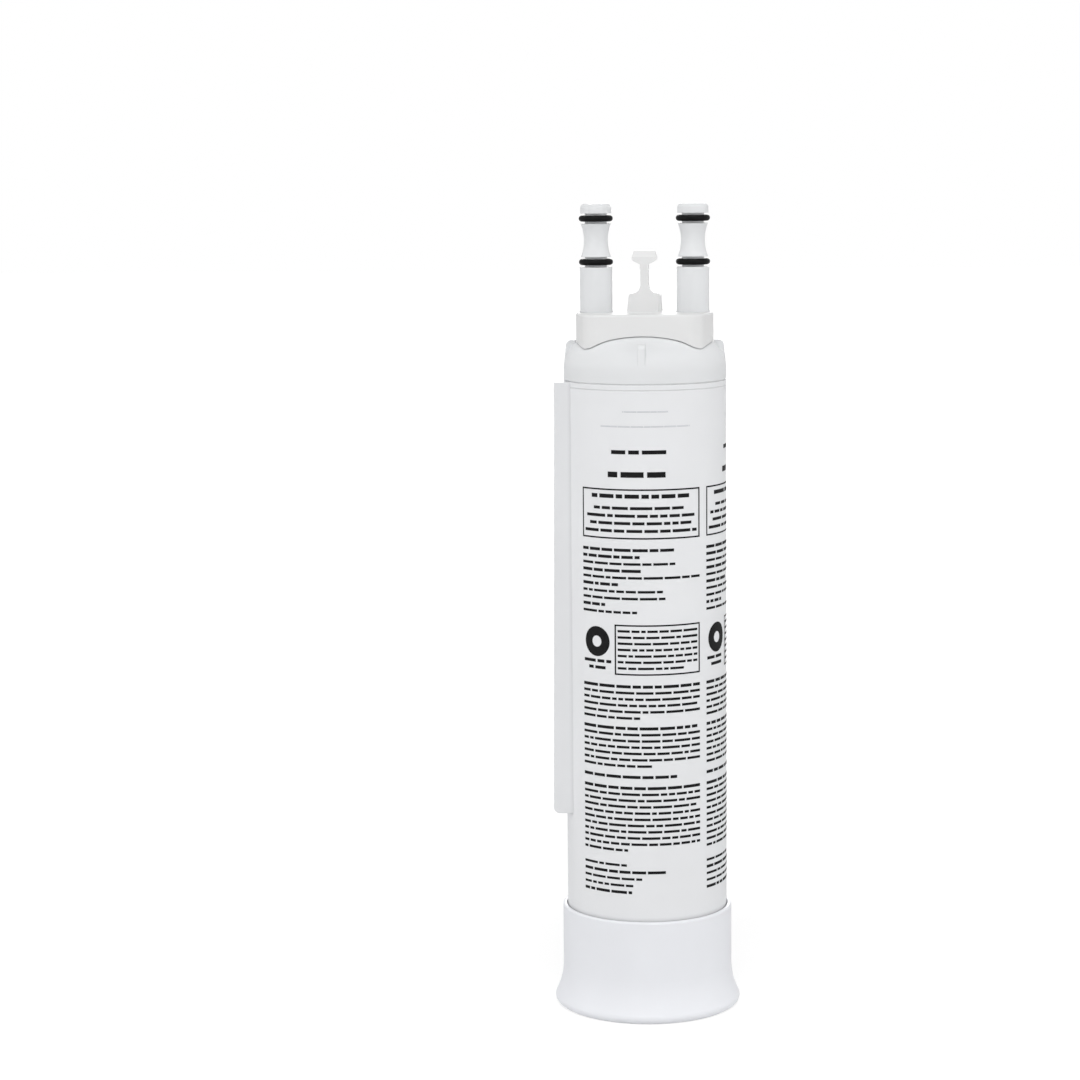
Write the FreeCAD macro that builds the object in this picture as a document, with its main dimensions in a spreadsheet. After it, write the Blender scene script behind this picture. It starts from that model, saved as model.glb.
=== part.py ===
"""Fridge water filter cartridge: a sealed plastic housing round a carbon block, pushed upward into its
holder by the foot. Millimetres, +Z up, origin at the centre of the base, front towards -Y."""

import FreeCAD, Part
import math
import os
import re
import Sketcher

DIMENSIONS = (
    ("tube_r", 24.9, "outer radius of the housing tube and of the head"),
    ("tube_wall", 2.2, "wall of the housing tube"),
    ("tube_floor", 3.0, "thickness of the tube's closed end"),
    ("tube_corner", 6.0, "outer radius of the tube's lower corner"),
    ("seam_z", 196.0, "height of the weld seam between tube and head"),
    ("seam_bevel", 0.25, "bevel on each edge of the weld seam"),
    ("band_h", 1.6, "height of the plain band above the tube's ring line"),
    ("line_w", 0.4, "width of the ring line"),
    ("line_depth", 0.14, "depth of the ring line"),
    ("rail_w", 22.0, "width of the guide rail"),
    ("rail_low_z", 62.0, "lower end of the guide rail"),
    ("rail_top_rise", 2.35, "rise of the rail above the tube at its upper end"),
    ("rail_low_rise", 3.45, "rise of the rail above the tube at its lower end"),
    ("rail_round", 1.9, "rounding of the rail's lower outer corner"),
    ("foot_floor", 2.5, "thickness of the foot's base"),
    ("foot_wall", 1.2, "wall of the foot at its waist"),
    ("foot_gap", 0.3, "gap between the foot and the tube"),
    ("foot_rim_z", 31.5, "height of the foot's rim"),
    ("foot_lip", 0.55, "rounding of the rim's outer edge"),
    ("flare_z", 12.6, "height at which the foot starts to flare"),
    ("flare_drop", 9.9, "height of the hollow of the flare"),
    ("flare_r", 22.0, "radius of the hollow of the flare"),
    ("stand_w", 3.8, "width of the ring that the foot stands on"),
    ("recess_depth", 0.8, "depth of the recess under the base"),
    ("dome_spring", 3.5, "height of the head's straight wall above the seam"),
    ("dome_knuckle", 10.0, "radius of the dome's shoulder"),
    ("dome_h", 13.0, "height of the dome above its straight wall"),
    ("dome_wall", 4.2, "wall of the head"),
    ("skirt_depth", 8.0, "depth of the head's skirt inside the tube"),
    ("weld_gap", 0.08, "radial gap between skirt and tube"),
    ("rib_w", 2.2, "thickness of the four gusset ribs"),
    ("rib_h", 8.5, "height of the ribs above the head's straight wall"),
    ("rib_lean", 0.75, "lean of the ribs' outer edge"),
    ("rib_round", 1.7, "rounding of the ribs' upper corner"),
    ("shaft_r", 4.95, "radius of the spigot shaft"),
    ("shaft_h", 13.75, "height of the spigot shaft above the collar"),
    ("root_step", 0.2, "step from the spigot's root to its shaft"),
    ("root_rise", 0.3, "height of the spigot's root above the collar"),
    ("gland_w", 3.1, "width of the seal grooves"),
    ("waist_h", 10.1, "height of the waisted length between the grooves"),
    ("waist_step", 0.35, "step from the shaft to the ends of the waist"),
    ("waist_dip", 0.95, "depth of the waist's hollow"),
    ("nose_step", 0.2, "step from the shaft to the spigot nose"),
    ("nose_h", 2.85, "height of the spigot nose"),
    ("nose_round", 1.2, "rounding of the spigot nose"),
    ("seal_section", 1.84, "thickness of the spigot seals"),
    ("seal_proud", 0.26, "rise of the spigot seals above the shaft"),
    ("seal_gap", 0.02, "gap between a seal and the bottom of its groove"),
    ("bore_r", 2.3, "radius of the bore in each spigot"),
    ("bore_cap", 3.6, "solid length at the spigot's closed tip"),
    ("port_r", 1.6, "radius of the side port in the waist"),
    ("port_gap", 0.12, "gap round each spigot in the collar"),
    ("port_rim", 0.93, "wall of the collar outside each spigot"),
    ("collar_inset", 3.9, "distance of the collar's bowed sides from the tube's outer face"),
    ("collar_bow", 34.0, "radius of the collar's bowed sides"),
    ("collar_flat", 16.5, "distance of the collar's flats from the axis"),
    ("collar_rise", 4.0, "height of the collar above the top of the dome"),
    ("collar_plate", 2.4, "thickness of the collar's upper plate"),
    ("collar_wall", 2.2, "wall of the collar"),
    ("collar_round", 5.2, "rounding of the collar's upright corners"),
    ("collar_edge", 0.8, "rounding of the collar's upper edge"),
    ("collar_seat", 0.06, "gap between collar and dome where it is seated"),
    ("shade_h", 0.36, "height of the shadow gap under the collar's outer edge"),
    ("shade_w", 0.55, "depth of the shadow gap under the collar's outer edge"),
    ("key_depth", 5.4, "depth of the latch key from front to back"),
    ("key_spread", 0.65, "spread of the key from its narrow shoulder to the collar"),
    ("key_lean", 0.3, "lean of the key below its wide shoulder"),
    ("key_ledge", 0.05, "flat between a shoulder's rounding and its hollow"),
    ("key_neck_h", 5.55, "height of the key's shoulders"),
    ("key_stem_w", 2.5, "width of the key's stem"),
    ("key_hollow", 2.8, "hollow between the narrow shoulder and the stem"),
    ("key_head_z", 14.5, "height of the underside of the key's head"),
    ("key_head_w", 7.6, "width of the key's head"),
    ("key_top_w", 6.4, "width of the ridge of the key's head"),
    ("key_lug_h", 1.3, "rise of the head's underside"),
    ("key_eave_h", 1.0, "height of the head's upright edge"),
    ("key_roof_h", 1.85, "height of the bevels on the head"),
    ("key_bevel", 1.3, "upright bevels beside the wide shoulder"),
    ("key_round", 0.7, "rounding of the shoulders"),
    ("key_soft", 0.9, "rounding of the outer edges of the key's head"),
    ("chamber_big_r", 6.6, "outer radius of the channel wall round the centre socket"),
    ("chamber_small_r", 5.1, "outer radius of the channel wall round the outlet"),
    ("chamber_wall", 1.5, "wall of the channel and of the socket"),
    ("chamber_rise", 2.6, "height of the channel's lower edge above the seam"),
    ("cover_t", 2.0, "thickness of the channel cover"),
    ("socket_len", 14.5, "length of the socket below the channel cover"),
    ("nipple_gap", 0.2, "gap between the end cap's nipple and its socket"),
    ("nipple_short", 1.5, "length by which the nipple ends short of the channel cover"),
    ("nipple_bore_r", 2.2, "bore of the nipple"),
    ("nipple_gland_z", 7.6, "height of the nipple's seal above its boss"),
    ("nipple_gland_w", 2.4, "width of the nipple's seal groove"),
    ("nipple_seal", 1.6, "thickness of the nipple's seal"),
    ("boss_rim", 0.8, "reach of the nipple's boss beyond the socket"),
    ("boss_h", 3.0, "height of the boss under the nipple"),
    ("cap_plate", 2.5, "thickness of the end caps"),
    ("cap_rim_h", 6.0, "height of the end caps' rims"),
    ("cap_rim_t", 1.2, "thickness of the end caps' rims"),
    ("fin_h", 6.0, "height of the lower cap's standing fins"),
    ("fin_w", 2.0, "thickness of the lower cap's fins"),
    ("fin_step", 3.5, "distance of the fins' feet inside the cap's rim"),
    ("fin_gap", 0.3, "gap between the fins and the tube"),
    ("flow_gap", 3.7, "water space between the end caps and the tube"),
    ("block_bore_r", 5.5, "bore of the carbon block"),
    ("wrap_t", 0.9, "thickness of the sediment wrap"),
    ("lay_gap", 0.05, "gap between block, wrap and end caps"),
)

DERIVED = {
    "line_z": "seam_z - band_h",
    "rail_top_z": "seam_z - seam_bevel",
    "rail_top_x": "tube_r + rail_top_rise",
    "rail_low_x": "tube_r + rail_low_rise",
    "rail_heel_z": "rail_low_z + rail_round",
    "tube_bore_r": "tube_r - tube_wall",
    "tube_floor_z": "foot_floor + tube_floor",
    "bore_corner": "tube_corner - tube_wall",
    "cup_r": "tube_r + foot_gap",
    "foot_r": "cup_r + foot_wall",
    "flare_lean": "flare_drop / flare_r",
    "flare_x": "foot_r + flare_r - sqrt(flare_r ^ 2 - flare_drop ^ 2)",
    "flare_low_z": "flare_z - flare_drop",
    "heel_r": "flare_low_z / (1 + flare_lean)",
    "heel_x": "flare_x - heel_r * sqrt(1 - flare_lean ^ 2)",
    "recess_r": "heel_x - stand_w - recess_depth",
    "knuckle_x": "tube_r - dome_knuckle",
    "knuckle_z": "seam_z + dome_spring",
    "dome_top_z": "knuckle_z + dome_h",
    "crown_r": "(knuckle_x ^ 2 + dome_h ^ 2 - dome_knuckle ^ 2) / (2 * (dome_h - dome_knuckle))",
    "crown_z": "dome_top_z - crown_r",
    "crown_share": "1 / (crown_r - dome_knuckle)",
    "cavity_r": "tube_r - dome_wall",
    "skirt_r": "tube_bore_r - weld_gap",
    "skirt_z": "seam_z - skirt_depth",
    "rib_x": "tube_r - rib_lean",
    "rib_top_z": "knuckle_z + rib_h",
    "collar_r": "tube_r - collar_inset",
    "collar_top_z": "dome_top_z + collar_rise",
    "root_r": "shaft_r + root_step",
    "root_z": "knuckle_z + dome_knuckle / 2",
    "root_top_z": "collar_top_z + root_rise",
    "hole_r": "root_r + port_gap",
    "port_x": "collar_r - port_rim - hole_r",
    "gland_r": "shaft_r + seal_proud - seal_section - seal_gap",
    "gland_low_z": "collar_top_z + shaft_h",
    "waist_low_z": "gland_low_z + gland_w",
    "waist_mid_z": "waist_low_z + waist_h / 2",
    "waist_top_z": "waist_low_z + waist_h",
    "waist_end_r": "shaft_r - waist_step",
    "waist_r": "waist_end_r - waist_dip",
    "waist_curve": "(waist_h ^ 2 / 4 + waist_dip ^ 2) / (2 * waist_dip)",
    "nose_r": "shaft_r - nose_step",
    "nose_low_z": "waist_top_z + gland_w",
    "spigot_top_z": "nose_low_z + nose_h",
    "bore_top_z": "spigot_top_z - bore_cap",
    "bow_x": "collar_r - collar_bow",
    "bow_round": "collar_bow - collar_round",
    "round_y": "collar_flat - collar_round",
    "round_x": "bow_x + sqrt(bow_round ^ 2 - round_y ^ 2)",
    "key_hollow_x": "key_stem_w / 2 + key_hollow",
    "key_flat_x": "key_hollow_x + key_ledge",
    "key_neck_x": "key_flat_x + key_round",
    "key_base_x": "key_neck_x + key_spread",
    "key_wide_x": "key_base_x - key_lean",
    "key_level_x": "key_wide_x - key_round",
    "key_sweep": "key_level_x - key_ledge - key_stem_w / 2",
    "key_root_z": "collar_top_z - collar_plate / 2",
    "key_neck_z": "collar_top_z + key_neck_h",
    "key_lug_z": "collar_top_z + key_head_z",
    "key_eave_z": "key_lug_z + key_lug_h",
    "key_roof_z": "key_eave_z + key_eave_h",
    "key_ridge_z": "key_roof_z + key_roof_h",
    "chamber_lean": "(chamber_big_r - chamber_small_r) / port_x",
    "cover_top_z": "seam_z + chamber_rise",
    "cover_low_z": "cover_top_z - cover_t",
    "socket_r": "chamber_big_r - chamber_wall",
    "boss_r": "chamber_big_r + boss_rim",
    "boss_top_z": "cover_low_z - socket_len",
    "nipple_r": "socket_r - nipple_gap",
    "nipple_top_z": "cover_low_z - nipple_short",
    "nipple_gland_r": "socket_r - lay_gap - nipple_seal",
    "nipple_seal_z": "boss_top_z + nipple_gland_z",
    "cap_top_z": "boss_top_z - boss_h",
    "rim_out_r": "tube_bore_r - flow_gap",
    "rim_in_r": "rim_out_r - cap_rim_t",
    "wrap_out_r": "rim_in_r - lay_gap",
    "wrap_in_r": "wrap_out_r - wrap_t",
    "block_r": "wrap_in_r - lay_gap",
    "block_top_z": "cap_top_z - cap_plate",
    "cap_low_z": "tube_floor_z + fin_h",
    "block_low_z": "cap_low_z + cap_plate",
    "cap_rim_z": "block_low_z + cap_rim_h",
    "fin_x": "tube_bore_r - fin_gap",
    "fin_foot_x": "rim_out_r - fin_step",
}

SHEET = "Dims"
ALIAS = re.compile(r"\b[a-z]+(?:_[a-z]+)+\b")
MARGIN = 5.0
TINY = 1e-3

RIB_COUNT = 4
FIN_COUNT = 4


def bound(expression):
    """The expression with its derived sizes written out and every dimension looked up in the sheet."""
    def look_up(found):
        name = found.group(0)
        return f"({bound(DERIVED[name])})" if name in DERIVED else f"{SHEET}.{name}"
    return ALIAS.sub(look_up, expression)


class Model:
    """The document, its sheet of dimensions and the pieces made from them."""

    def __init__(self):
        self.doc = FreeCAD.newDocument("filter_cartridge")
        self.sheet = self.doc.addObject("Spreadsheet::Sheet", SHEET)
        self.pieces = {}
        for row, (alias, value, note) in enumerate(DIMENSIONS, start=1):
            self.sheet.set(f"A{row}", note)
            self.sheet.set(f"B{row}", str(value))
            self.sheet.setAlias(f"B{row}", alias)
        self.doc.recompute()

    def value(self, expression):
        return float(self.sheet.evalExpression(bound(str(expression))))

    def body(self, node):
        piece = self.doc.addObject("PartDesign::Body", node)
        piece.Label = node
        self.pieces[node] = piece
        return piece

    def origin(self, body, role):
        return next(item for item in body.Origin.OriginFeatures if item.Role == role)

    def sketch(self, body, plane, name, shift_x=None, shift_z=None):
        made = body.newObject("Sketcher::SketchObject", name)
        made.AttachmentSupport = [(self.origin(body, plane), "")]
        made.MapMode = "FlatFace"
        if shift_x is not None:
            made.setExpression(".AttachmentOffset.Base.x", bound(shift_x))
        if shift_z is not None:
            made.setExpression(".AttachmentOffset.Base.z", bound(shift_z))
        made.Visibility = False
        return made

    def feature(self, body, kind, name, profile=None, **sizes):
        made = body.newObject(f"PartDesign::{kind}", name)
        if profile is not None:
            made.Profile = profile
        for prop, expression in sizes.items():
            made.setExpression(prop, bound(expression))
        return made

    def turn(self, body, kind, name, profile):
        made = self.feature(body, kind, name, profile)
        made.ReferenceAxis = (profile, ["V_Axis"])
        made.Angle = 360
        self.doc.recompute()
        return made

    def pad(self, body, kind, name, profile, length, midplane=False, reverse=False):
        made = self.feature(body, kind, name, profile, Length=length)
        if midplane:
            made.SideType = "Symmetric"
        made.Reversed = reverse
        self.doc.recompute()
        return made

    def around(self, body, name, original, count):
        made = body.newObject("PartDesign::PolarPattern", name)
        made.Originals = [original]
        made.Axis = (self.origin(body, "Z_Axis"), [""])
        made.Angle = 360
        made.Occurrences = count
        body.Tip = made
        self.doc.recompute()
        return made

    def mirror(self, body, name, original):
        made = body.newObject("PartDesign::Mirrored", name)
        made.Originals = [original]
        made.MirrorPlane = (self.origin(body, "YZ_Plane"), [""])
        body.Tip = made
        self.doc.recompute()
        return made

    def dress(self, body, kind, name, base, wanted, size):
        """A fillet or chamfer on the edges of base that the test wanted picks."""
        prop = "Radius" if kind == "Fillet" else "Size"
        edges = [f"Edge{i}" for i, edge in enumerate(base.Shape.Edges, start=1) if wanted(edge)]
        made = self.feature(body, kind, name, **{prop: size})
        made.Base = (base, edges)
        body.Tip = made
        self.doc.recompute()
        return made

    def datum(self, sketch, kind, *where_and_expression):
        *where, expression = where_and_expression
        index = sketch.addConstraint(Sketcher.Constraint(kind, *where, self.value(expression)))
        sketch.setExpression(f"Constraints[{index}]", bound(expression))

    def outline(self, sketch, corners):
        """A closed outline. A corner is (x, y), or (x, y, radius) where the run to the next corner is an
        arc: counter-clockwise for a radius given as it is, clockwise for one that starts with a minus."""
        spots = [FreeCAD.Vector(self.value(c[0]), self.value(c[1]), 0) for c in corners]
        runs = []
        for i, corner in enumerate(corners):
            start, end = spots[i], spots[(i + 1) % len(spots)]
            if len(corner) == 2:
                index = sketch.addGeometry(Part.LineSegment(start, end), False)
                runs.append((index, 1, 2))
                continue
            left = not corner[2].startswith("-")
            size = corner[2].lstrip("-")
            first, last = (start, end) if left else (end, start)
            radius = self.value(size)
            chord = last - first
            rise = math.sqrt(max(radius ** 2 - chord.Length ** 2 / 4, 0))
            side = FreeCAD.Vector(-chord.y, chord.x, 0).normalize()
            centre = (first + last) / 2 + side * rise
            angles = [math.atan2(p.y - centre.y, p.x - centre.x) for p in (first, last)]
            if angles[1] < angles[0]:
                angles[1] += 2 * math.pi
            circle = Part.Circle(centre, FreeCAD.Vector(0, 0, 1), radius)
            index = sketch.addGeometry(Part.ArcOfCircle(circle, *angles), False)
            self.datum(sketch, "Radius", index, size)
            runs.append((index, 1, 2) if left else (index, 2, 1))
        for i, (index, start, _) in enumerate(runs):
            before, _, before_end = runs[i - 1]
            sketch.addConstraint(Sketcher.Constraint("Coincident", before, before_end, index, start))
            self.pin(sketch, index, start, corners[i], corners[i - 1] if i else None, before)
        return sketch

    def pin(self, sketch, index, end, corner, last, before):
        """Fixes one corner of an outline, upright or level with the corner before it where it can."""
        straight = last is not None and len(last) == 2
        ways = ((0, "DistanceX", "Vertical", -2), (1, "DistanceY", "Horizontal", -1))
        for axis, kind, level, line in ways:
            if straight and corner[axis] == last[axis]:
                sketch.addConstraint(Sketcher.Constraint(level, before))
            elif corner[axis] == "0":
                sketch.addConstraint(Sketcher.Constraint("PointOnObject", index, end, line))
            else:
                self.datum(sketch, kind, -1, 1, index, end, corner[axis])

    def circle(self, sketch, x, y, radius):
        spot = FreeCAD.Vector(self.value(x), self.value(y), 0)
        made = Part.Circle(spot, FreeCAD.Vector(0, 0, 1), self.value(radius))
        index = sketch.addGeometry(made, False)
        self.pin(sketch, index, 3, (x, y), None, None)
        self.datum(sketch, "Radius", index, radius)

    def torus(self, node, x, z, ring_r, section_r):
        made = self.doc.addObject("Part::Torus", node)
        made.Label = node
        made.setExpression("Radius1", bound(ring_r))
        made.setExpression("Radius2", bound(section_r))
        made.setExpression(".Placement.Base.x", bound(x))
        made.setExpression(".Placement.Base.z", bound(z))
        self.pieces[node] = made

    def write(self):
        self.doc.recompute()
        for item in self.doc.Objects:
            faults = [state for state in item.State if state in ("Invalid", "Error")]
            if faults:
                raise RuntimeError(f"{item.Label}: {faults}")
        os.makedirs("parts", exist_ok=True)
        for node, piece in self.pieces.items():
            shape = piece.Shape
            if shape.isNull() or not shape.isValid() or len(shape.Solids) != 1:
                raise RuntimeError(f"{node}: not one valid solid")
            shape.exportStep(os.path.join("parts", f"{node}.step"))


def dome_corners(grow):
    """The dome's outline from its straight wall to its top, moved outward by grow."""
    crown = f"(crown_r + {grow})"
    share = f"{crown} * crown_share"
    return [
        (f"tube_r + {grow}", "knuckle_z", f"(dome_knuckle + {grow})"),
        (f"knuckle_x * {share}", f"crown_z + (crown_r - dome_h) * {share}", crown),
        ("0", f"dome_top_z + {grow}"),
    ]


def keyhole_corners(inset):
    """Two circles, round the centre socket and round the outlet, joined by their tangents."""
    big = f"(chamber_big_r - {inset})"
    small = f"(chamber_small_r - {inset})"
    rise = "sqrt(1 - chamber_lean ^ 2)"
    return [
        (f"{big} * chamber_lean", f"{big} * {rise}", big),
        (f"-{big}", "0", big),
        (f"{big} * chamber_lean", f"-{big} * {rise}"),
        (f"port_x + {small} * chamber_lean", f"-{small} * {rise}", small),
        (f"port_x + {small}", "0", small),
        (f"port_x + {small} * chamber_lean", f"{small} * {rise}"),
    ]


def collar_corners(inset):
    """The collar's plan, moved inward by inset: bowed sides, a flat in front and one behind, round corners."""
    bow = f"(collar_bow - {inset})"
    turn = f"(collar_round - {inset})"
    flat = f"(collar_flat - {inset})"
    side_x = f"(bow_x + (round_x - bow_x) * {bow} / bow_round)"
    side_y = f"(round_y * {bow} / bow_round)"
    return [
        (side_x, f"-{side_y}", bow),
        (side_x, side_y, turn),
        ("round_x", flat),
        ("-round_x", flat, turn),
        (f"-{side_x}", side_y, bow),
        (f"-{side_x}", f"-{side_y}", turn),
        ("-round_x", f"-{flat}"),
        ("round_x", f"-{flat}", turn),
    ]


def make_tube(model):
    """The housing: one moulding, closed below, with the guide rail down its left side."""
    body = model.body("housing_tube")
    wall = model.outline(model.sketch(body, "XZ_Plane", "TubeOutline"), [
        ("0", "foot_floor"),
        ("tube_r - tube_corner", "foot_floor", "tube_corner"),
        ("tube_r", "foot_floor + tube_corner"),
        ("tube_r", "line_z - line_w"),
        ("tube_r - line_depth", "line_z - line_w / 2"),
        ("tube_r", "line_z"),
        ("tube_r", "seam_z - seam_bevel"),
        ("tube_r - seam_bevel", "seam_z"),
        ("0", "seam_z"),
    ])
    model.turn(body, "Revolution", "TubeSolid", wall)
    rail = model.outline(model.sketch(body, "XZ_Plane", "RailOutline"), [
        ("-tube_r / 2", "rail_low_z"),
        ("-tube_r / 2", "rail_top_z"),
        ("-rail_top_x", "rail_top_z"),
        ("-rail_low_x", "rail_heel_z", "rail_round"),
        ("rail_round - rail_low_x", "rail_low_z"),
    ])
    model.pad(body, "Pad", "Rail", rail, "rail_w", midplane=True)
    bore = model.outline(model.sketch(body, "XZ_Plane", "BoreOutline"), [
        ("0", "tube_floor_z"),
        ("tube_bore_r - bore_corner", "tube_floor_z", "bore_corner"),
        ("tube_bore_r", "tube_floor_z + bore_corner"),
        ("tube_bore_r", f"seam_z + {MARGIN}"),
        ("0", f"seam_z + {MARGIN}"),
    ])
    model.turn(body, "Groove", "Bore", bore)


def make_foot(model):
    """The flared foot that is pressed by hand, a cup round the lower end of the tube."""
    body = model.body("foot_cap")
    cup = model.outline(model.sketch(body, "XZ_Plane", "FootOutline"), [
        ("0", "recess_depth"),
        ("recess_r", "recess_depth"),
        ("recess_r + recess_depth", "0"),
        ("heel_x", "0", "heel_r"),
        ("flare_x", "flare_low_z", "-flare_r"),
        ("foot_r", "flare_z"),
        ("foot_r", "foot_rim_z - foot_lip", "foot_lip"),
        ("foot_r - foot_lip", "foot_rim_z"),
        ("cup_r", "foot_rim_z"),
        ("cup_r", "foot_floor"),
        ("0", "foot_floor"),
    ])
    model.turn(body, "Revolution", "Cup", cup)


def make_head(model):
    """The domed head: ribs outside, skirt and channel inside, and the two water spigots."""
    body = model.body("head")
    blank = model.outline(model.sketch(body, "XZ_Plane", "BlankOutline"), [
        ("0", "skirt_z"),
        ("skirt_r", "skirt_z"),
        ("skirt_r", "seam_z"),
        ("tube_r - seam_bevel", "seam_z"),
        ("tube_r", "seam_z + seam_bevel"),
        ("tube_r", "dome_top_z"),
        ("0", "dome_top_z"),
    ])
    model.turn(body, "Revolution", "Blank", blank)
    cavity = model.outline(model.sketch(body, "XZ_Plane", "CavityOutline"), [
        ("0", f"skirt_z - {MARGIN}"),
        ("cavity_r", f"skirt_z - {MARGIN}"),
        ("cavity_r", *dome_corners("-dome_wall")[0][1:]),
        *dome_corners("-dome_wall")[1:],
    ])
    model.turn(body, "Groove", "Cavity", cavity)
    channel = model.sketch(body, "XY_Plane", "ChannelOutline", shift_z="cover_top_z")
    model.outline(channel, keyhole_corners("0"))
    model.outline(channel, keyhole_corners("chamber_wall"))
    model.pad(body, "Pad", "ChannelWall", channel, "dome_top_z - cover_top_z - dome_wall / 2")
    over = model.outline(model.sketch(body, "XZ_Plane", "DomeOutline"), [
        *dome_corners("0"),
        ("0", f"dome_top_z + {MARGIN}"),
        (f"tube_r + {MARGIN}", f"dome_top_z + {MARGIN}"),
        (f"tube_r + {MARGIN}", "knuckle_z"),
    ])
    model.turn(body, "Groove", "Dome", over)
    rib = model.outline(model.sketch(body, "XZ_Plane", "RibOutline"), [
        ("tube_r - dome_wall / 2", "knuckle_z"),
        ("tube_r", "knuckle_z"),
        ("rib_x", "rib_top_z - rib_round", "rib_round"),
        ("rib_x - rib_round", "rib_top_z"),
        ("collar_r + port_gap", "rib_top_z"),
    ])
    rib_pad = model.pad(body, "Pad", "Rib", rib, "rib_w", midplane=True)
    model.around(body, "Ribs", rib_pad, RIB_COUNT)
    make_spigots(model, body)


def make_spigots(model, body):
    """The two waisted water spigots, each with two seal grooves, a bore and a side port."""
    spigot = model.outline(model.sketch(body, "XZ_Plane", "SpigotOutline", shift_x="port_x"), [
        ("0", "root_z"),
        ("root_r", "root_z"),
        ("root_r", "root_top_z"),
        ("shaft_r", "root_top_z"),
        ("shaft_r", "gland_low_z"),
        ("gland_r", "gland_low_z"),
        ("gland_r", "waist_low_z"),
        ("waist_end_r", "waist_low_z", "-waist_curve"),
        ("waist_r", "waist_mid_z", "-waist_curve"),
        ("waist_end_r", "waist_top_z"),
        ("gland_r", "waist_top_z"),
        ("gland_r", "nose_low_z"),
        ("nose_r", "nose_low_z"),
        ("nose_r", "spigot_top_z - nose_round", "nose_round"),
        ("nose_r - nose_round", "spigot_top_z"),
        ("0", "spigot_top_z"),
    ])
    spigot_solid = model.turn(body, "Revolution", "Spigot", spigot)
    model.mirror(body, "SpigotPair", spigot_solid)
    bore = model.outline(model.sketch(body, "XZ_Plane", "SpigotBore", shift_x="port_x"), [
        ("0", f"root_z - {MARGIN}"),
        ("bore_r", f"root_z - {MARGIN}"),
        ("bore_r", "bore_top_z"),
        ("0", "bore_top_z + bore_r"),
    ])
    bore_cut = model.turn(body, "Groove", "Bore", bore)
    model.mirror(body, "BorePair", bore_cut)
    port = model.sketch(body, "XZ_Plane", "PortOutline")
    model.circle(port, "port_x", "waist_mid_z", "port_r")
    port_cut = model.pad(body, "Pocket", "Port", port, "shaft_r")
    model.mirror(body, "PortPair", port_cut)


def make_collar(model):
    """The collar, its lower edge on the dome all round with a shadow gap outside, and the latch key on top."""
    body = model.body("latch_collar")
    plan = model.sketch(body, "XY_Plane", "CollarPlan", shift_z="knuckle_z")
    model.outline(plan, collar_corners("0"))
    block = model.pad(body, "Pad", "CollarBlock", plan, "collar_top_z - knuckle_z")
    top = model.value("collar_top_z")
    model.dress(
        body, "Fillet", "UpperEdge", block,
        lambda edge: edge.BoundBox.ZMin > top - TINY, "collar_edge",
    )
    cut_to_dome(model, body, "ShadowGap", "shade_h")
    plinth = model.sketch(body, "XY_Plane", "PlinthPlan", shift_z="knuckle_z")
    model.outline(plinth, collar_corners("shade_w"))
    model.pad(body, "Pad", "Plinth", plinth, "collar_top_z - collar_plate / 2 - knuckle_z")
    hollow = model.sketch(body, "XY_Plane", "HollowPlan", shift_z="knuckle_z")
    model.outline(hollow, collar_corners("collar_wall"))
    model.pad(body, "Pocket", "Hollow", hollow, "collar_top_z - collar_plate - knuckle_z", reverse=True)
    cut_to_dome(model, body, "Seat", "collar_seat")
    holes = model.sketch(body, "XY_Plane", "SpigotHoles", shift_z="collar_top_z")
    model.circle(holes, "port_x", "0", "hole_r")
    model.circle(holes, "-port_x", "0", "hole_r")
    model.pad(body, "Pocket", "Holes", holes, "collar_top_z - knuckle_z")
    make_key(model, body)


def cut_to_dome(model, body, name, gap):
    """Takes away what lies lower than that gap above the dome."""
    outline = model.outline(model.sketch(body, "XZ_Plane", f"{name}Outline"), [
        ("0", f"knuckle_z - {MARGIN}"),
        (f"tube_r + {gap}", f"knuckle_z - {MARGIN}"),
        *dome_corners(gap),
    ])
    model.turn(body, "Groove", name, outline)


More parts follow.
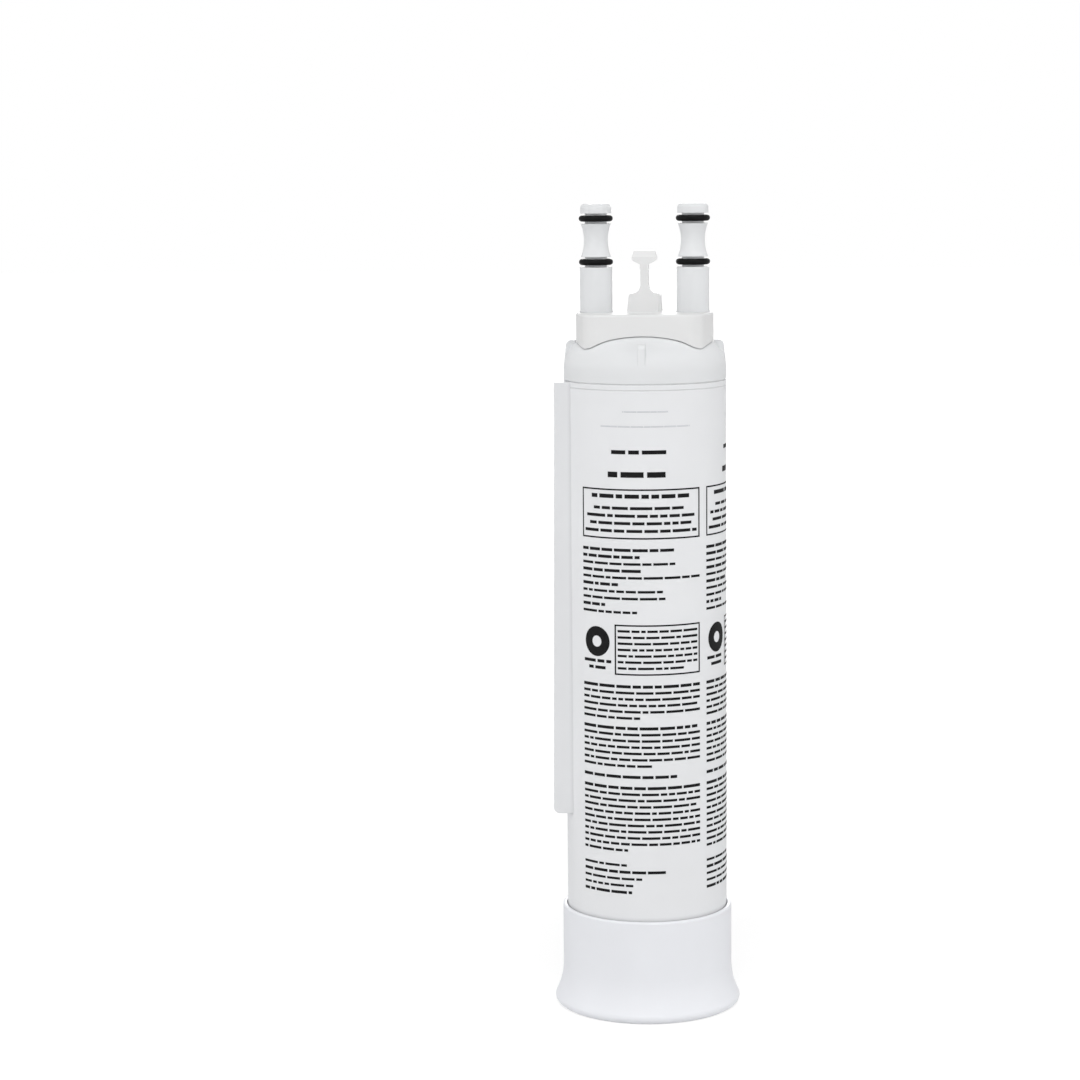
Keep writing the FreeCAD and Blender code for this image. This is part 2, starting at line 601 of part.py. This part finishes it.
def make_key(model, body):
    """The T-shaped latch key: two hollowed shoulders, one of them bevelled, a slim stem and a roofed head."""
    outline = model.outline(model.sketch(body, "XZ_Plane", "KeyOutline"), [
        ("-key_base_x", "key_root_z"),
        ("key_base_x", "key_root_z"),
        ("key_wide_x", "key_neck_z - key_round", "key_round"),
        ("key_level_x", "key_neck_z"),
        ("key_level_x - key_ledge", "key_neck_z", "-key_sweep"),
        ("key_stem_w / 2", "key_neck_z + key_sweep"),
        ("key_stem_w / 2", "key_lug_z"),
        ("key_head_w / 2", "key_eave_z"),
        ("key_head_w / 2", "key_roof_z"),
        ("key_top_w / 2", "key_ridge_z"),
        ("-key_top_w / 2", "key_ridge_z"),
        ("-key_head_w / 2", "key_roof_z"),
        ("-key_head_w / 2", "key_eave_z"),
        ("-key_stem_w / 2", "key_lug_z"),
        ("-key_stem_w / 2", "key_neck_z + key_hollow", "-key_hollow"),
        ("-key_hollow_x", "key_neck_z"),
        ("-key_flat_x", "key_neck_z", "key_round"),
        ("-key_neck_x", "key_neck_z - key_round"),
    ])
    key = model.pad(body, "Pad", "Key", outline, "key_depth", midplane=True)
    ridge = model.value("key_ridge_z")
    model.dress(
        body, "Chamfer", "KeyRoof", key,
        lambda edge: edge.BoundBox.ZMin > ridge - TINY and edge.BoundBox.YLength < TINY, "key_roof_h",
    )
    bevel = model.sketch(body, "XY_Plane", "KeyBevelPlan", shift_z="collar_top_z")
    for side in ("-", ""):
        model.outline(bevel, [
            (f"key_base_x - key_bevel - {MARGIN}", f"{side}(key_depth / 2 + {MARGIN})"),
            (f"key_base_x + {MARGIN}", f"{side}(key_depth / 2 + {MARGIN})"),
            (f"key_base_x + {MARGIN}", f"{side}(key_depth / 2 - key_bevel - {MARGIN})"),
        ])
    bevelled = model.pad(body, "Pocket", "KeyBevel", bevel, "key_neck_h + key_sweep", reverse=True)
    side_x = model.value("key_head_w / 2")
    eave = model.value("key_eave_z")
    roof = model.value("key_roof_z")
    model.dress(
        body, "Fillet", "KeyEaves", bevelled,
        lambda edge: edge.BoundBox.XLength < TINY and edge.BoundBox.ZLength < TINY
        and abs(abs(edge.BoundBox.XMin) - side_x) < TINY and eave - TINY < edge.BoundBox.ZMin < roof + TINY,
        "key_soft",
    )


def make_cover(model):
    """The cover welded under the channel, with the socket for the end cap's nipple."""
    body = model.body("channel_cover")
    plate = model.sketch(body, "XY_Plane", "CoverPlan", shift_z="cover_low_z")
    model.outline(plate, keyhole_corners("0"))
    model.pad(body, "Pad", "Plate", plate, "cover_t")
    tube = model.sketch(body, "XY_Plane", "SocketPlan", shift_z="cover_low_z")
    model.circle(tube, "0", "0", "chamber_big_r")
    model.pad(body, "Pad", "Socket", tube, "socket_len", reverse=True)
    bore = model.sketch(body, "XY_Plane", "SocketBore", shift_z="cover_top_z")
    model.circle(bore, "0", "0", "socket_r")
    model.pad(body, "Pocket", "Bore", bore, f"cover_top_z - boss_top_z + {MARGIN}")


def make_top_cap(model):
    """The upper end cap of the filter element, with the outlet nipple and its seal."""
    body = model.body("upper_end_cap")
    outline = model.outline(model.sketch(body, "XZ_Plane", "UpperCapOutline"), [
        ("nipple_bore_r", "block_top_z"),
        ("rim_in_r", "block_top_z"),
        ("rim_in_r", "block_top_z - cap_rim_h"),
        ("rim_out_r", "block_top_z - cap_rim_h"),
        ("rim_out_r", "cap_top_z"),
        ("boss_r", "cap_top_z"),
        ("boss_r", "boss_top_z"),
        ("nipple_r", "boss_top_z"),
        ("nipple_r", "nipple_seal_z - nipple_gland_w / 2"),
        ("nipple_gland_r", "nipple_seal_z - nipple_gland_w / 2"),
        ("nipple_gland_r", "nipple_seal_z + nipple_gland_w / 2"),
        ("nipple_r", "nipple_seal_z + nipple_gland_w / 2"),
        ("nipple_r", "nipple_top_z"),
        ("nipple_bore_r", "nipple_top_z"),
    ])
    model.turn(body, "Revolution", "UpperCap", outline)
    ring_r = "nipple_gland_r + nipple_seal / 2"
    model.torus("nipple_seal_ring", "0", "nipple_seal_z", ring_r, "nipple_seal / 2 - seal_gap")


def make_bottom_cap(model):
    """The closed lower end cap, standing on four fins that also centre the element in the tube."""
    body = model.body("lower_end_cap")
    outline = model.outline(model.sketch(body, "XZ_Plane", "LowerCapOutline"), [
        ("0", "cap_low_z"),
        ("rim_out_r", "cap_low_z"),
        ("rim_out_r", "cap_rim_z"),
        ("rim_in_r", "cap_rim_z"),
        ("rim_in_r", "block_low_z"),
        ("0", "block_low_z"),
    ])
    model.turn(body, "Revolution", "LowerCap", outline)
    fin = model.outline(model.sketch(body, "XZ_Plane", "FinOutline"), [
        ("block_bore_r", "tube_floor_z"),
        ("fin_foot_x", "tube_floor_z"),
        ("fin_x", "cap_low_z"),
        ("fin_x", "cap_rim_z"),
        ("rim_out_r - cap_rim_t / 2", "cap_rim_z"),
        ("rim_out_r - cap_rim_t / 2", "block_low_z - cap_plate / 2"),
        ("block_bore_r", "block_low_z - cap_plate / 2"),
    ])
    fin_pad = model.pad(body, "Pad", "Fin", fin, "fin_w", midplane=True)
    model.around(body, "Fins", fin_pad, FIN_COUNT)


def make_sleeve(model, node, inner, outer):
    """A plain sleeve between the two end caps."""
    body = model.body(node)
    ring = model.outline(model.sketch(body, "XZ_Plane", f"{node}_outline"), [
        (inner, "block_low_z"),
        (outer, "block_low_z"),
        (outer, "block_top_z"),
        (inner, "block_top_z"),
    ])
    model.turn(body, "Revolution", f"{node}_solid", ring)


def make_seals(model):
    """The four rubber rings in the grooves of the two spigots."""
    ring_r = "gland_r + seal_gap + seal_section / 2"
    heights = (("lower", "gland_low_z + gland_w / 2"), ("upper", "waist_top_z + gland_w / 2"))
    for port, x in (("inlet", "-port_x"), ("outlet", "port_x")):
        for level, z in heights:
            model.torus(f"{port}_{level}_seal", x, z, ring_r, "seal_section / 2")


def main():
    model = Model()
    make_tube(model)
    make_foot(model)
    make_head(model)
    make_collar(model)
    make_cover(model)
    make_top_cap(model)
    make_bottom_cap(model)
    make_sleeve(model, "carbon_block", "block_bore_r", "block_r")
    make_sleeve(model, "sediment_wrap", "wrap_in_r", "wrap_out_r")
    make_seals(model)
    model.write()


main()
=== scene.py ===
import math
import random

import bmesh
import bpy
from mathutils import Matrix, Vector


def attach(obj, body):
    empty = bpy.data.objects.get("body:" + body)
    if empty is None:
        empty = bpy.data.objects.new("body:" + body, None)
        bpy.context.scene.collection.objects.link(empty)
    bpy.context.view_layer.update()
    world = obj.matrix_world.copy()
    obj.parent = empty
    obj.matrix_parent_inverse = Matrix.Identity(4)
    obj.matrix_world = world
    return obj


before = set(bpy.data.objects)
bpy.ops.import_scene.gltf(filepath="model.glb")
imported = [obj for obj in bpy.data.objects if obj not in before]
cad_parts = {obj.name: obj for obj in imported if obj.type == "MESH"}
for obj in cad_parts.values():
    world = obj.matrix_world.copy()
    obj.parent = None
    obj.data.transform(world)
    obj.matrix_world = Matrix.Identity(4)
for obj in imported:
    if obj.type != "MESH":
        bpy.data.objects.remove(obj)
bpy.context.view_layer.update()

MM = 0.001

# The camera, fitted to the photograph: pixels of a 1080 x 1080 image, millimetres and degrees.
# It stands a little to the right of straight ahead, by ASIDE degrees.
IMAGE_PX = 1080.0
FOCAL_PX = 2825.0
SENSOR_MM = 36.0
ASIDE = 2.5
EYE_AWAY_MM, EYE_HIGH_MM = 866.5, 262.34
PITCH, YAW, ROLL = (math.radians(turn) for turn in (7.6286, 2.1612 + ASIDE, -0.5411))

# The tube, in millimetres, and the degrees that a millimetre takes round it.
TUBE_R = 24.9
DEG_PER_MM = math.degrees(1 / TUBE_R)

# Colours, linear.
TUBE_WHITE = (0.765, 0.772, 0.786)
FOOT_WHITE = (0.785, 0.795, 0.825)
HEAD_WHITE = (0.72, 0.73, 0.74)
COLLAR_WHITE = (0.735, 0.737, 0.737)
INNER_WHITE = (0.78, 0.78, 0.76)
SEAL_BLACK = (0.005, 0.005, 0.0052)
CARBON_BLACK = (0.022, 0.022, 0.023)
WRAP_WHITE = (0.8, 0.8, 0.77)
INK = (0.008, 0.008, 0.0084)
# The grey below paints the shade of two faint grooves on the tube.
GROOVE_SHADE_GREY = (0.62, 0.63, 0.66)
PLAIN_WHITE = (1, 1, 1, 1)
FLOOR_LIT = (0.3, 0.3, 0.3, 1)
FLOOR_BOUNCE = (0.8, 0.8, 0.8, 1)

# Painted shade and surface detail: the reach of the painted dark in corners, the span of a noise that is
# used, and that of the painted corner shade.
CORNER_SHADE_REACH = 1.4 * MM
NOISE_SPAN = (0.3, 0.7)
CORNER_SHADE_SPAN = (0.5, 1.0)

# The ink's slab, from inside the tube's wall to just outside it, and the degrees between its stations.
INK_IN = TUBE_R - 0.06
INK_OUT = TUBE_R + 0.03
STATION = 3.0
RING_SPOKES, RING_BANDS = 48, 4

# The printing, as plain bars: where its two columns start and how wide they are, in degrees.
PANEL_W = 90.4
PANEL_STARTS = (ASIDE - 49.6, ASIDE + 47.5)
FRONT_SEAM_PX, SEAM_MM, PX_PER_MM = 384.7, 196.0, 3.272
FRAME_LINE = 0.45

# Bars as long as words, in letter heights: half their height, the gap between them and their lengths.
BOLD_HALF, PLAIN_HALF = 0.4, 0.33
WORD_GAP = 0.5
WORD_SHORT, WORD_LONG = 1.2, 5.2

# Single rows of a column: image row, left and right end as shares of the width, letter height, bold.
ROWS_ABOVE = (
    (450.8, 0.28, 0.71, 1.8, False),
    (473, 0.25, 0.75, 2.1, True),
)
ROWS_IN_FIRST_FRAME = (
    (494.4, 0.1, 0.9, 1.5, True),
    (506.2, 0.12, 0.88, 1.35, False),
    (513.8, 0.05, 0.95, 1.35, False),
    (521.2, 0.08, 0.92, 1.35, False),
    (528.8, 0.03, 0.97, 1.35, False),
)
ROWS_UNDER_RING = (
    (660, 0.01, 0.27, 1.4, False),
    (666.6, 0.06, 0.22, 1.4, False),
)
# Frames: left end, then the image rows of the lower and upper edge.
FIRST_FRAME = (0.0, 536.8, 487.2)
SECOND_FRAME = (0.3, 672.7, 622.2)
# The ring: its middle as a share of the width and an image row, its radius and its hole's.
RING = (0.14, 640.5, 4.6, 1.72)
# Lists of rows: first image row, step, letter height, right ends, and which rows are bold.
UPPER_LIST = (547.8, 6.9, 1.12, (0.77, 0.54, 0.78, 0.51, 1.0, 0.33, 0.68, 0.7, 0.22, 0.48), (0, 1, 3, 5, 8))
LOWER_LIST = (865.8, 6.9, 1.08, (0.39, 0.72, 0.51, 0.44, 0.43), (1, 4))
# Rows in the second frame: first image row, step, number, left and right end, the last row's right end,
# letter height.
FRAMED_ROWS = (628.7, 6.2, 7, 0.325, 0.975, 0.85, 1.08)
# Paragraphs: first image row, number of rows and the last row's right end. Their step and letter height.
PARAGRAPHS = ((684.2, 6, 0.5), (726.3, 7, 0.59), (775.5, 1, 0.79), (786.8, 11, 0.4))
PARAGRAPH_STEP, PARAGRAPH_TALL = 6.35, 1.14

# Painted shade of two short faint grooves on the front of the tube, near its top, as grey strips: image row
# and reach to each side, in degrees.
FAINT_LINES = ((411.0, 16.0), (425.6, 32.5))
FAINT_HALF = 0.22
FAINT_IN, FAINT_OUT = TUBE_R - 0.08, TUBE_R + 0.005

# Light: the level from all around, what the lamps aim at, and the floor's glow near the object and far off.
AMBIENT = 0.26
AIM = Vector((0, 0, 0.13))
GLOW_REACH = (0.1, 0.8)
GLOW = (0.76, 1.0)
FLOOR_HALF = 6

rng = random.Random(7)
scene = bpy.context.scene


def round_tube(angle, height, radius):
    """A point at that angle from the front, in degrees, and that height and radius in millimetres."""
    turn = math.radians(angle)
    return Vector((radius * math.sin(turn), -radius * math.cos(turn), height)) * MM


def make_camera():
    data = bpy.data.cameras.new("camera")
    data.sensor_width = SENSOR_MM
    data.sensor_fit = "HORIZONTAL"
    data.lens = FOCAL_PX / IMAGE_PX * SENSOR_MM
    data.clip_start = 0.01
    data.clip_end = 20.0
    camera = bpy.data.objects.new("camera", data)
    bpy.context.collection.objects.link(camera)
    ahead = Vector((
        -math.sin(YAW) * math.cos(PITCH), math.cos(YAW) * math.cos(PITCH), -math.sin(PITCH),
    ))
    right = ahead.cross(Vector((0, 0, 1))).normalized()
    up = right.cross(ahead)
    across = math.cos(ROLL) * right + math.sin(ROLL) * up
    over = -math.sin(ROLL) * right + math.cos(ROLL) * up
    turn = Matrix((across, over, -ahead)).transposed()
    eye = round_tube(ASIDE, EYE_HIGH_MM, EYE_AWAY_MM)
    camera.matrix_world = Matrix.Translation(eye) @ turn.to_4x4()
    bpy.context.scene.camera = camera


def remap(tree, source, span, result):
    """The source, with one span of values spread over another."""
    node = tree.nodes.new("ShaderNodeMapRange")
    for key, value in zip(("From Min", "From Max", "To Min", "To Max"), (*span, *result)):
        node.inputs[key].default_value = value
    tree.links.new(source, node.inputs["Value"])
    return node.outputs["Result"]


class Nodes:
    """A material's node tree, with short calls to add and join nodes."""

    def __init__(self, name):
        self.material = bpy.data.materials.new(name)
        self.material.use_nodes = True
        self.tree = self.material.node_tree
        self.shader = self.tree.nodes["Principled BSDF"]
        self.place = self.add("ShaderNodeTexCoord").outputs["Object"]

    def add(self, kind, **inputs):
        node = self.tree.nodes.new(kind)
        for key, value in inputs.items():
            node.inputs[key].default_value = value
        return node

    def link(self, source, target):
        self.tree.links.new(source, target)

    def noise(self, scale, detail=2.0, rough=0.5):
        node = self.add("ShaderNodeTexNoise", Scale=scale, Detail=detail, Roughness=rough)
        self.link(self.place, node.inputs["Vector"])
        return node.outputs["Fac"]

    def spread(self, source, low, high):
        """A noise, spread from low to high."""
        return remap(self.tree, source, NOISE_SPAN, (low, high))

    def between(self, source, first, second):
        """A colour between two, by the source."""
        node = self.tree.nodes.new("ShaderNodeMix")
        node.data_type = "RGBA"
        for socket in node.inputs:
            if socket.name == "A" and socket.type == "RGBA":
                socket.default_value = (*first, 1)
            if socket.name == "B" and socket.type == "RGBA":
                socket.default_value = (*second, 1)
        self.link(source, node.inputs["Factor"])
        return next(out for out in node.outputs if out.type == "RGBA")

    def painted_corner_shade(self, reach, depth):
        """Painted corner shade: 1 on open surfaces, falling by up to depth in the corners that reach metres
        around make.
        """
        node = self.add("ShaderNodeAmbientOcclusion", Distance=reach)
        node.samples = 12
        return remap(self.tree, node.outputs["AO"], CORNER_SHADE_SPAN, (1.0 - depth, 1.0))

    def times(self, colour, share):
        """The colour, scaled by a share."""
        node = self.add("ShaderNodeVectorMath")
        node.operation = "SCALE"
        self.link(colour, node.inputs[0])
        self.link(share, node.inputs["Scale"])
        return node.outputs["Vector"]

    def bump(self, source, depth, edge):
        """Surface relief of that depth over edges softened to that radius, both in metres."""
        soft = self.add("ShaderNodeBevel", Radius=edge)
        soft.samples = 4
        node = self.add("ShaderNodeBump", Strength=1.0, Distance=depth)
        self.link(source, node.inputs["Height"])
        self.link(soft.outputs["Normal"], node.inputs["Normal"])
        self.link(node.outputs["Normal"], self.shader.inputs["Normal"])


def shade(colour, share):
    return tuple(value * share for value in colour)


def moulded(name, colour, rough=0.5, specular=0.07, edge=0.25 * MM, grain=0.006 * MM, corners=0.0):
    """White moulded plastic: faint cloudy tone, painted shade in corners, satin gloss that varies, spark
    texture.
    """
    made = Nodes(name)
    tone = made.spread(made.noise(38.0, 3.0), 0.0, 1.0)
    cloudy_tone_and_shade = made.between(tone, shade(colour, 0.985), shade(colour, 1.012))
    # Where corners is set, the colour is painted darker in corners, as shade.
    if corners:
        cloudy_tone_and_shade = made.times(cloudy_tone_and_shade, made.painted_corner_shade(CORNER_SHADE_REACH, corners))
    made.link(cloudy_tone_and_shade, made.shader.inputs["Base Color"])
    satin = made.spread(made.noise(160.0, 3.0), rough - 0.05, rough + 0.06)
    made.link(satin, made.shader.inputs["Roughness"])
    made.shader.inputs["Specular IOR Level"].default_value = specular
    made.bump(made.noise(1500.0, 2.0, 0.6), grain, edge)
    return made.material


def rubber(name, colour):
    """Black rubber with a dull bloom and a fine matt grain."""
    made = Nodes(name)
    tone = made.spread(made.noise(420.0, 4.0, 0.6), 0.0, 1.0)
    made.link(made.between(tone, colour, shade(colour, 1.9)), made.shader.inputs["Base Color"])
    made.link(made.spread(made.noise(900.0, 2.0), 0.44, 0.6), made.shader.inputs["Roughness"])
    made.shader.inputs["Specular IOR Level"].default_value = 0.05
    made.bump(made.noise(2600.0, 2.0), 0.008 * MM, 0.05 * MM)
    return made.material


def granular(name, colour, scale, depth, rough):
    """Pressed or fibrous matter: coarse mottling and deep matt grain."""
    made = Nodes(name)
    tone = made.spread(made.noise(scale, 5.0, 0.7), 0.0, 1.0)
    made.link(made.between(tone, shade(colour, 0.8), shade(colour, 1.15)), made.shader.inputs["Base Color"])
    made.shader.inputs["Roughness"].default_value = rough
    made.bump(made.noise(scale * 2, 4.0, 0.7), depth, 0.1 * MM)
    return made.material


def printed(name, colour):
    """Matt ink with slightly uneven cover."""
    made = Nodes(name)
    tone = made.spread(made.noise(1100.0, 3.0), 0.0, 1.0)
    made.link(made.between(tone, colour, shade(colour, 1.8)), made.shader.inputs["Base Color"])
    made.shader.inputs["Roughness"].default_value = 0.6
    made.shader.inputs["Specular IOR Level"].default_value = 0.05
    return made.material


def dress_solids():
    """Give each solid its material."""
    looks = {
        # The tube's white is painted darker in its corners, by up to 0.22, as shade.
        "housing_tube": moulded("tube_white", TUBE_WHITE, corners=0.22),
        "foot_cap": moulded("foot_white", FOOT_WHITE, rough=0.46),
        "head": moulded("head_white", HEAD_WHITE),
        "latch_collar": moulded("collar_white", COLLAR_WHITE, rough=0.54, edge=0.1 * MM, grain=0.001 * MM),
        "carbon_block": granular("carbon", CARBON_BLACK, 700.0, 0.08 * MM, 0.85),
        "sediment_wrap": granular("wrap", WRAP_WHITE, 500.0, 0.05 * MM, 0.9),
    }
    inner_white = moulded("inner_white", INNER_WHITE)
    seal_black = rubber("seal_black", SEAL_BLACK)
    for name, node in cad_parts.items():
        look = looks.get(name, seal_black if "seal" in name else inner_white)
        for slot in node.material_slots:
            slot.material = look


def join(form, here, there):
    """Faces between two rings of points that have as many points each."""
    for i in range(len(here)):
        j = (i + 1) % len(here)
        form.faces.new((here[i], there[i], there[j], here[j]))


def patch(form, start, end, low, high, inner=INK_IN, outer=INK_OUT):
    """A closed curved slab on the tube between two angles and two heights."""
    count = max(1, math.ceil(abs(end - start) / STATION))
    corners = ((inner, low), (outer, low), (outer, high), (inner, high))
    rings = []
    for step in range(count + 1):
        angle = start + (end - start) * step / count
        rings.append([form.verts.new(round_tube(angle, z, r)) for r, z in corners])
    for here, there in zip(rings, rings[1:]):
        join(form, here, there)
    form.faces.new(rings[0])
    form.faces.new(reversed(rings[-1]))


def ring(form, angle, height, radius, hole):
    """A closed ring-shaped slab that follows the tube's curve."""
    sizes = [hole + (radius - hole) * band / RING_BANDS for band in range(RING_BANDS + 1)]
    spots = [(size, INK_OUT) for size in sizes] + [(size, INK_IN) for size in reversed(sizes)]
    spokes = []
    for step in range(RING_SPOKES):
        turn = 2 * math.pi * step / RING_SPOKES
        side, rise = math.cos(turn), math.sin(turn)
        spokes.append([
            form.verts.new(round_tube(angle + size * side * DEG_PER_MM, height + size * rise, r))
            for size, r in spots
        ])
    for here, there in zip(spokes, spokes[1:] + spokes[:1]):
        join(form, here, there)


def as_piece(name, form, material):
    """The form as a piece of that name, which rides on the part."""
    mesh = bpy.data.meshes.new(name)
    bmesh.ops.recalc_face_normals(form, faces=form.faces)
    form.to_mesh(mesh)
    form.free()
    piece = bpy.data.objects.new(name, mesh)
    bpy.context.collection.objects.link(piece)
    piece.data.materials.append(material)
    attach(piece, "root")


def height_of(row_px):
    """The height on the front of the tube, in millimetres, of a row of the image."""
    return SEAM_MM - (row_px - FRONT_SEAM_PX) / PX_PER_MM


def words(form, start, end, middle, tall, bold):
    """A row of plain bars, as long as words, between two angles."""
    half = tall * (BOLD_HALF if bold else PLAIN_HALF)
    gap = tall * WORD_GAP * DEG_PER_MM
    at = start
    while at < end - tall * DEG_PER_MM:
        wide = tall * rng.uniform(WORD_SHORT, WORD_LONG) * DEG_PER_MM
        if at + wide > end - 1.5 * gap:
            wide = end - at
        patch(form, at, at + wide, middle - half, middle + half)
        at += wide + gap


def frame_box(form, start, end, low, high):
    """A thin frame between two angles and two heights."""
    side = FRAME_LINE * DEG_PER_MM
    patch(form, start, end, high - FRAME_LINE, high)
    patch(form, start, end, low, low + FRAME_LINE)
    patch(form, start, start + side, low + FRAME_LINE, high - FRAME_LINE)
    patch(form, end - side, end, low + FRAME_LINE, high - FRAME_LINE)


def panel(form, start):
    """One column of the printing."""

    def along(share):
        return start + share * PANEL_W

    def row(px, left, right, tall, bold=False):
        words(form, along(left), along(right), height_of(px), tall, bold)

    def rows(first, step, tall, ends, bold):
        for i, share in enumerate(ends):
            row(first + step * i, 0.0, share, tall, i in bold)

    def box(left, low_px, high_px):
        frame_box(form, along(left), start + PANEL_W, height_of(low_px), height_of(high_px))

    for line in ROWS_ABOVE:
        row(*line)
    box(*FIRST_FRAME)
    for line in ROWS_IN_FIRST_FRAME:
        row(*line)
    rows(*UPPER_LIST)
    box(*SECOND_FRAME)
    first, step, count, left, right, last, tall = FRAMED_ROWS
    for i in range(count):
        row(first + step * i, left, right if i < count - 1 else last, tall)
    share, px, radius, hole = RING
    ring(form, along(share), height_of(px), radius, hole)
    for line in ROWS_UNDER_RING:
        row(*line)
    for first, count, last in PARAGRAPHS:
        rows(first, PARAGRAPH_STEP, PARAGRAPH_TALL, [1.0] * (count - 1) + [last], (0,))
    rows(*LOWER_LIST)


def add_print():
    form = bmesh.new()
    for start in PANEL_STARTS:
        panel(form, start)
    as_piece("tube_print", form, printed("print_grey", INK))


# Grey strips on the tube that paint the shade of two faint grooves.
def add_painted_groove_shade():
    form = bmesh.new()
    for px, reach in FAINT_LINES:
        low, high = height_of(px) - FAINT_HALF, height_of(px) + FAINT_HALF
        patch(form, ASIDE - reach, ASIDE + reach, low, high, FAINT_IN, FAINT_OUT)
    as_piece("tube_groove_shade", form, moulded("painted_groove_grey", GROOVE_SHADE_GREY))


def seen(tree):
    """1 for rays from the camera and for those that gloss or glass sends on, else 0."""
    rays = tree.nodes.new("ShaderNodeLightPath")
    first = tree.nodes.new("ShaderNodeMath")
    first.operation = "MAXIMUM"
    second = tree.nodes.new("ShaderNodeMath")
    second.operation = "MAXIMUM"
    tree.links.new(rays.outputs["Is Camera Ray"], first.inputs[0])
    tree.links.new(rays.outputs["Is Glossy Ray"], first.inputs[1])
    tree.links.new(first.outputs[0], second.inputs[0])
    tree.links.new(rays.outputs["Is Transmission Ray"], second.inputs[1])
    return second.outputs[0]


def pick(tree, unseen, shown, output):
    """One shader for light that falls on things, another for what is seen, joined to an output."""
    mixed = tree.nodes.new("ShaderNodeMixShader")
    tree.links.new(seen(tree), mixed.inputs[0])
    tree.links.new(unseen.outputs[0], mixed.inputs[1])
    tree.links.new(shown.outputs[0], mixed.inputs[2])
    tree.links.new(mixed.outputs[0], tree.nodes[output].inputs["Surface"])


def make_world():
    """Even light from all around, seen as plain white."""
    world = bpy.data.worlds.new("studio")
    scene.world = world
    world.use_nodes = True
    tree = world.node_tree
    dim = tree.nodes["Background"]
    dim.inputs["Color"].default_value = PLAIN_WHITE
    dim.inputs["Strength"].default_value = AMBIENT
    plain = tree.nodes.new("ShaderNodeBackground")
    plain.inputs["Color"].default_value = PLAIN_WHITE
    plain.inputs["Strength"].default_value = 1.0
    pick(tree, dim, plain, "World Output")


def softbox(name, azimuth, elevation, distance, size, level):
    """A square soft lamp, aimed at the object, that lights a face turned to it at that level."""
    data = bpy.data.lights.new(name, "AREA")
    data.shape = "SQUARE"
    data.size = size
    data.energy = level * math.pi ** 2 * distance ** 2
    lamp = bpy.data.objects.new(name, data)
    scene.collection.objects.link(lamp)
    turn, lift = math.radians(azimuth), math.radians(elevation)
    away = Vector((math.sin(turn) * math.cos(lift), -math.cos(turn) * math.cos(lift), math.sin(lift)))
    lamp.location = AIM + away * distance
    lamp.rotation_euler = away.to_track_quat("Z", "Y").to_euler()


def floor_paper():
    """White paper that takes shadows and glows a little more away from the object."""
    paper = bpy.data.materials.new("floor_white")
    paper.use_nodes = True
    tree = paper.node_tree
    tree.nodes.remove(tree.nodes["Principled BSDF"])
    matt = tree.nodes.new("ShaderNodeBsdfDiffuse")
    matt.inputs["Color"].default_value = FLOOR_BOUNCE
    lit = tree.nodes.new("ShaderNodeBsdfDiffuse")
    lit.inputs["Color"].default_value = FLOOR_LIT
    glow = tree.nodes.new("ShaderNodeEmission")
    spot = tree.nodes.new("ShaderNodeTexCoord")
    away = tree.nodes.new("ShaderNodeVectorMath")
    away.operation = "LENGTH"
    tree.links.new(spot.outputs["Object"], away.inputs[0])
    tree.links.new(remap(tree, away.outputs["Value"], GLOW_REACH, GLOW), glow.inputs["Strength"])
    both = tree.nodes.new("ShaderNodeAddShader")
    tree.links.new(lit.outputs[0], both.inputs[0])
    tree.links.new(glow.outputs[0], both.inputs[1])
    pick(tree, matt, both, "Material Output")
    return paper


def make_floor():
    form = bmesh.new()
    bmesh.ops.create_grid(form, x_segments=1, y_segments=1, size=FLOOR_HALF)
    mesh = bpy.data.meshes.new("floor")
    form.to_mesh(mesh)
    form.free()
    floor = bpy.data.objects.new("floor", mesh)
    scene.collection.objects.link(floor)
    floor.data.materials.append(floor_paper())


make_camera()
dress_solids()
add_print()
add_painted_groove_shade()

scene.view_settings.view_transform = "Standard"
make_world()
softbox("side_left", azimuth=-66, elevation=8, distance=1.3, size=0.8, level=0.37)
softbox("side_right", azimuth=66, elevation=8, distance=1.3, size=0.8, level=0.39)
softbox("front", azimuth=0, elevation=60, distance=3.0, size=1.7, level=0.62)
softbox("back", azimuth=180, elevation=8, distance=2.0, size=0.5, level=0.4)
make_floor()
